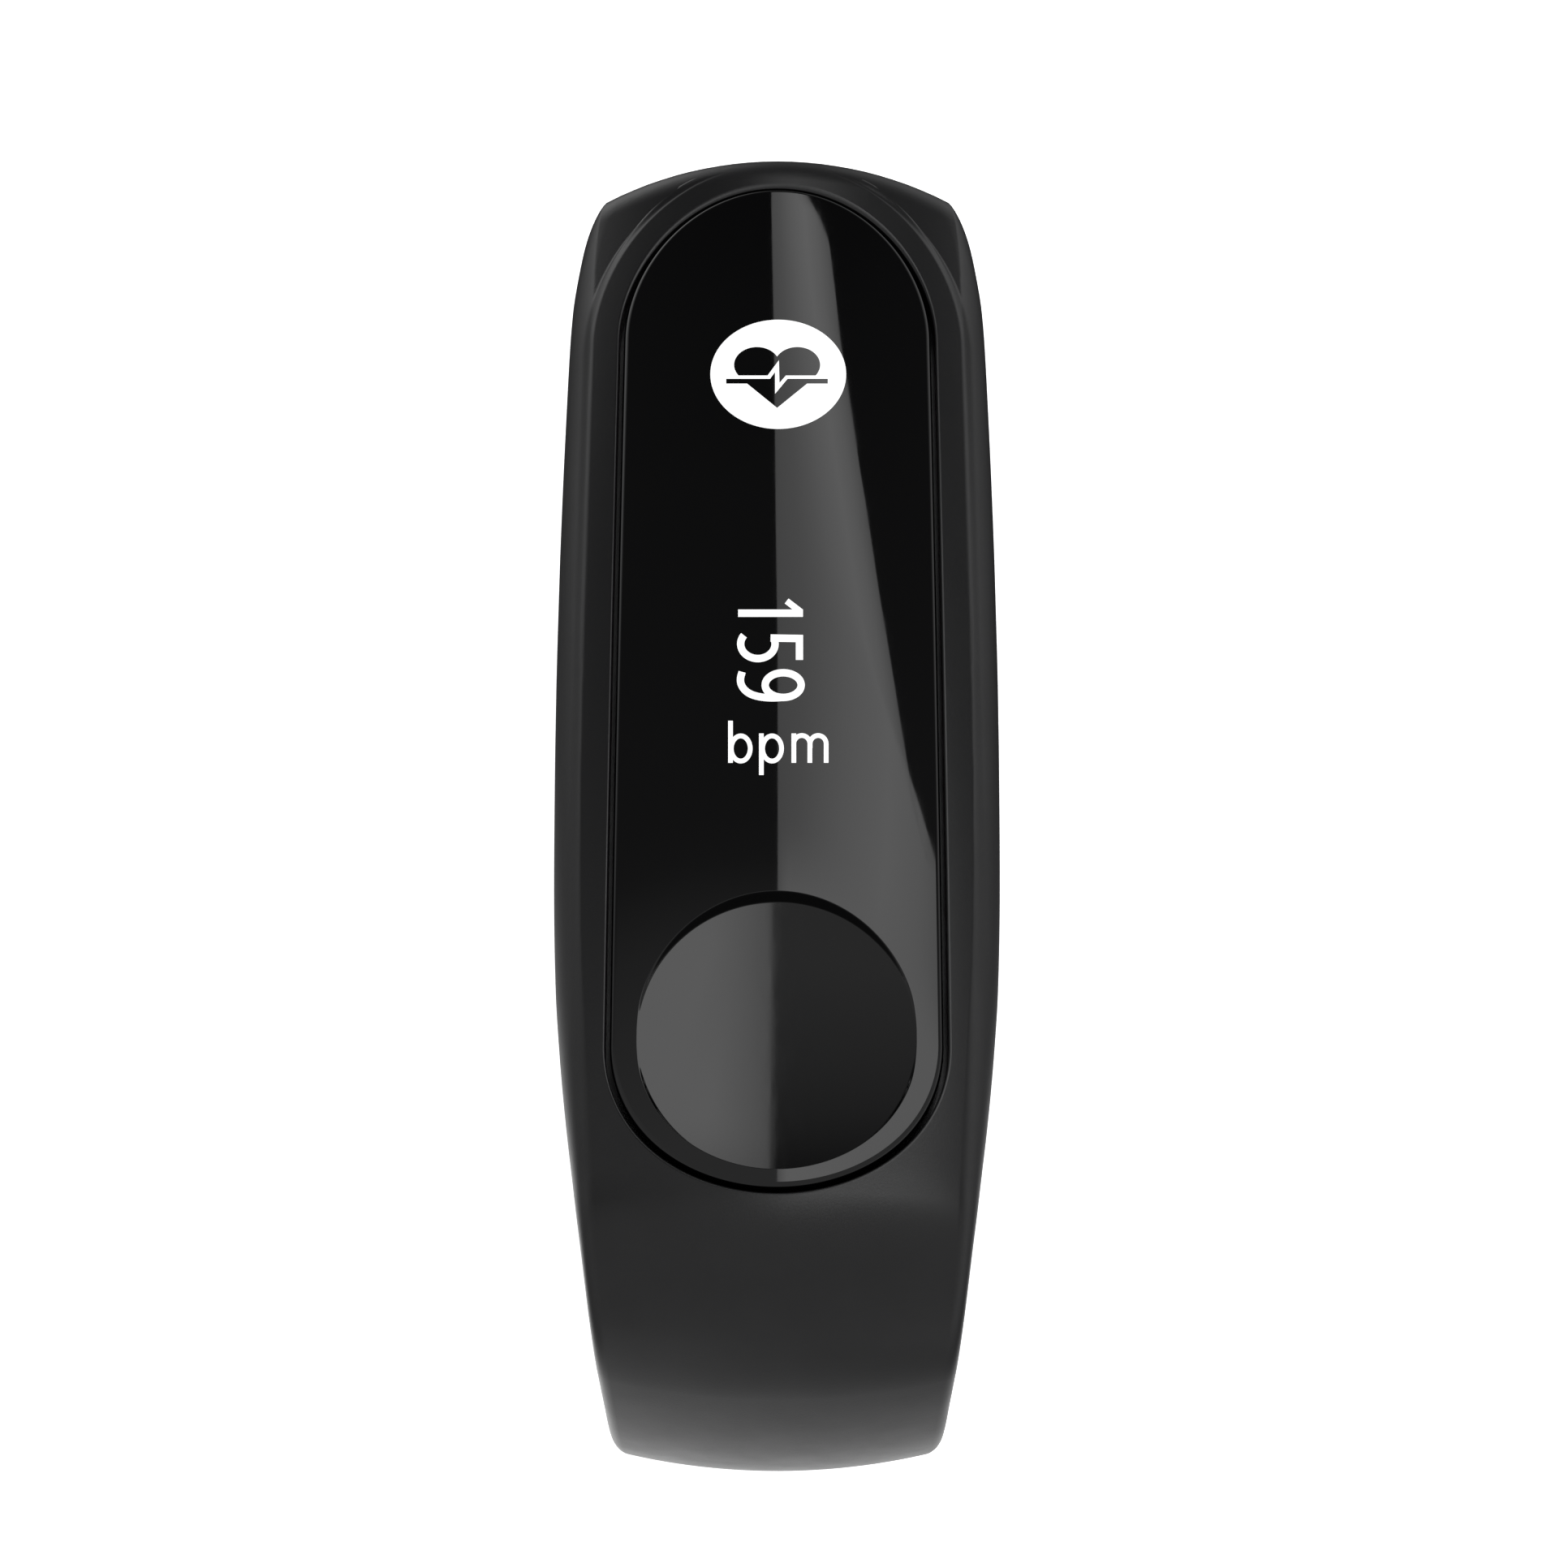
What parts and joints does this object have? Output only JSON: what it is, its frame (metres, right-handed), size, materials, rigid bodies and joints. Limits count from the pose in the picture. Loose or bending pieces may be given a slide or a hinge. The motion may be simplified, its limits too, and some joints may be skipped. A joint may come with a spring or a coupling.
{
  "type": "fitness tracker band",
  "caption": "Wrist fitness tracker: domed black capsule with touch dimple and lit display, held in the frame of a soft rubber strap closed by a pin clasp.",
  "frame": {"origin": "centre of the bounding box in X and Y, on the table plane under the clasp disc", "axes": "+Z is the outward normal of the display, Y runs along the capsule with the touch dimple towards -Y, X goes across the strap"},
  "size_m": [0.0218, 0.0688, 0.05],
  "materials": {
    "strap_rubber": "satin",
    "clasp_metal": "brushed",
    "lens_black": "gloss",
    "gasket_rubber": "matte",
    "clear_film": "gloss",
    "display_glass": "gloss",
    "foam": "matte",
    "flex_film": "satin",
    "shell_plastic": "satin",
    "board_green": "satin",
    "chip_black": "matte",
    "antenna_metal": "satin",
    "battery_wrap": "satin",
    "motor_steel": "satin",
    "led_white": "gloss",
    "sensor_window": "gloss",
    "contact_gold": "polished"
  },
  "bodies": {
    "band": {"strap_frame": "strap_rubber"},
    "short_strap": {"strap_short": "strap_rubber", "clasp_stud": "clasp_metal", "clasp_cap": "clasp_metal"},
    "tail": {"strap_tail": "strap_rubber"},
    "tracker": {"lens_cover": "lens_black", "lens_gasket": "gasket_rubber", "touch_film": "clear_film", "display_panel": "display_glass", "display_cushion": "foam", "display_flex": "flex_film", "mid_frame": "shell_plastic", "main_board": "board_green", "processor_chip": "chip_black", "memory_chip": "chip_black", "accelerometer_chip": "chip_black", "antenna_strip": "antenna_metal", "battery_cell": "battery_wrap", "battery_pad": "foam", "vibration_motor": "motor_steel", "hr_sensor_board": "board_green", "hr_led_left": "led_white", "hr_led_right": "led_white", "hr_photodiode": "chip_black", "hr_light_barrier": "shell_plastic", "hr_window": "sensor_window", "shell_gasket": "gasket_rubber", "bottom_shell": "shell_plastic", "charge_contact_left": "contact_gold", "charge_contact_right": "contact_gold"}
  },
  "joints": [
    {"name": "tracker_release", "type": "slide", "parent": "band", "child": "tracker", "axis": [0, 0, -1], "range_m": [0, 0.014], "stiffness_N_per_m": 150},
    {"name": "clasp_open", "type": "hinge", "parent": "band", "child": "short_strap", "pos_m": [0, 0.03117, 0.0148], "axis": [1, 0, 0], "range_deg": [0, 75], "stiffness_Nm_per_rad": 0.02},
    {"name": "tail_flex", "type": "hinge", "parent": "band", "child": "tail", "pos_m": [0, 0.00553, 0.0058], "axis": [1, 0, 0], "range_deg": [0, 30], "stiffness_Nm_per_rad": 0.02}
  ]
}
